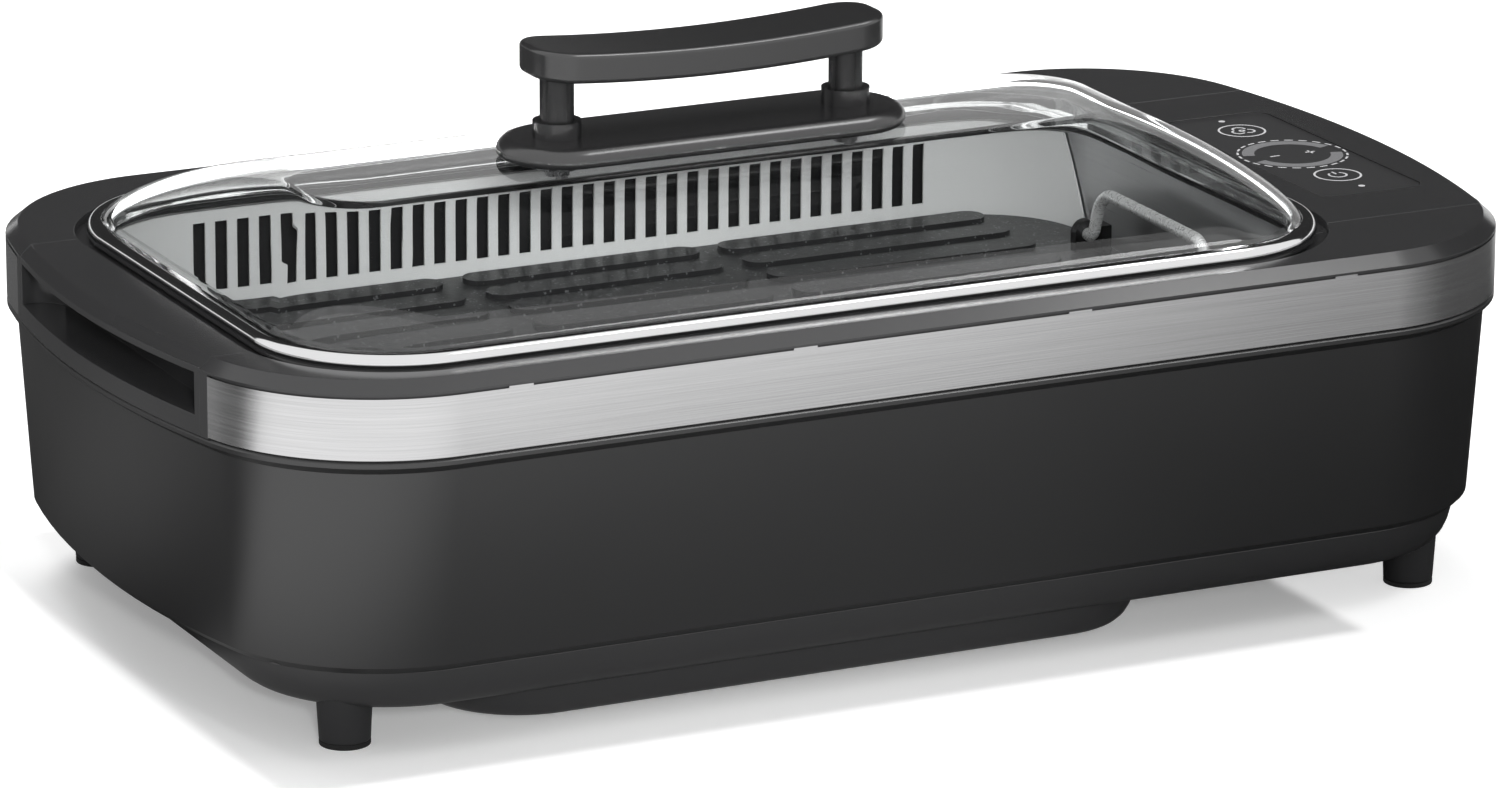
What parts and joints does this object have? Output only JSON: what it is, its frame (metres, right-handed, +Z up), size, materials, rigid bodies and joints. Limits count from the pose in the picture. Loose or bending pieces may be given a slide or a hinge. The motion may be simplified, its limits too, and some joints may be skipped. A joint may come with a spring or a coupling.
{
  "type": "smokeless indoor grill",
  "caption": "Low countertop grill with a lift-off clear lid, lift-out grill plate and drip tray, touch panel, steel band and a blower behind a slotted guard.",
  "frame": {"origin": "on the table, under the middle of the body", "axes": "+X along the body towards the control panel, -Y the front, +Z up"},
  "size_m": [0.524, 0.302, 0.2106],
  "materials": {
    "body_plastic": "fine moulded satin black",
    "frame_plastic": "fine moulded satin black",
    "bottom_plastic": "moulded matte black",
    "foot_plastic": "moulded matte black",
    "foot_rubber": "matte black rubber",
    "band_steel": "brushed along the body",
    "panel_face": "smooth black touch surface",
    "circuit_board": "green circuit board",
    "liner_steel": "brushed sheet",
    "guard_steel": "brushed sheet",
    "tray_aluminium": "pressed sheet",
    "plate_coating": "black non-stick coating on a casting",
    "bail_wire": "polished wire",
    "lug_steel": "plain steel",
    "element_tube": "dark heater sheath",
    "ceramic": "unglazed insulator",
    "duct_plastic": "moulded grey",
    "impeller_plastic": "moulded dark grey",
    "motor_can": "drawn steel can",
    "bracket_steel": "plain bent sheet",
    "inlet_plastic": "moulded black",
    "contact_brass": "plain contact metal",
    "clear_glass": "clear tempered glass",
    "rim_steel": "polished rim",
    "handle_plastic": "satin black heat-resistant plastic",
    "screw_steel": "plain screw steel"
  },
  "bodies": {
    "base": {"base_shell": "body_plastic", "bottom_cover": "bottom_plastic", "feet": "foot_plastic", "foot_pads": "foot_rubber", "band_front": "band_steel", "band_rear": "band_steel", "top_frame_front": "frame_plastic", "top_frame_rear": "frame_plastic", "left_end_cover": "frame_plastic", "right_end_cover": "frame_plastic", "touch_panel": "panel_face", "control_board": "circuit_board", "well_liner": "liner_steel", "rear_vent_guard": "guard_steel", "heater_socket": "ceramic", "temperature_probe": "lug_steel", "air_duct": "duct_plastic", "blower_housing": "duct_plastic", "fan_motor": "motor_can", "blower_bracket": "bracket_steel", "exhaust_grille": "body_plastic", "power_inlet": "inlet_plastic", "inlet_pins": "contact_brass", "power_board": "circuit_board", "frame_screws": "screw_steel", "cover_screws": "screw_steel", "board_screws": "screw_steel", "motor_screws": "screw_steel"},
    "tray": {"drip_tray": "tray_aluminium"},
    "plate": {"grill_plate": "plate_coating", "bail_lugs": "lug_steel", "heating_element": "element_tube", "element_clamps": "lug_steel", "element_terminal": "ceramic"},
    "bail_left": {"left_bail": "bail_wire"},
    "bail_right": {"right_bail": "bail_wire"},
    "rotor": {"impeller": "impeller_plastic", "motor_shaft": "screw_steel"},
    "lid": {"lid_rim": "rim_steel", "lid_glass": "clear_glass", "handle_base": "handle_plastic", "handle_posts": "handle_plastic", "handle_collars": "handle_plastic", "handle_grip": "handle_plastic", "handle_washers": "screw_steel", "handle_screws": "screw_steel"}
  },
  "joints": [
    {"name": "tray_lift", "type": "slide", "parent": "base", "child": "tray", "axis": [0, 0, 1], "range_m": [0, 0.12]},
    {"name": "plate_lift", "type": "slide", "parent": "tray", "child": "plate", "axis": [0, 0, 1], "range_m": [0, 0.12]},
    {"name": "lid_lift", "type": "slide", "parent": "plate", "child": "lid", "axis": [0, 0, 1], "range_m": [0, 0.15]},
    {"name": "left_bail_fold", "type": "hinge", "parent": "plate", "child": "bail_left", "pos_m": [-0.2086, -0.0097, 0.1007], "axis": [0, 1, 0], "range_deg": [0, 100]},
    {"name": "right_bail_fold", "type": "hinge", "parent": "plate", "child": "bail_right", "pos_m": [0.1585, -0.0097, 0.1007], "axis": [0, -1, 0], "range_deg": [0, 100]},
    {"name": "fan_spin", "type": "hinge", "parent": "base", "child": "rotor", "pos_m": [0.2061, 0.052, 0.0832], "axis": [1, 0, 0], "continuous": true}
  ]
}
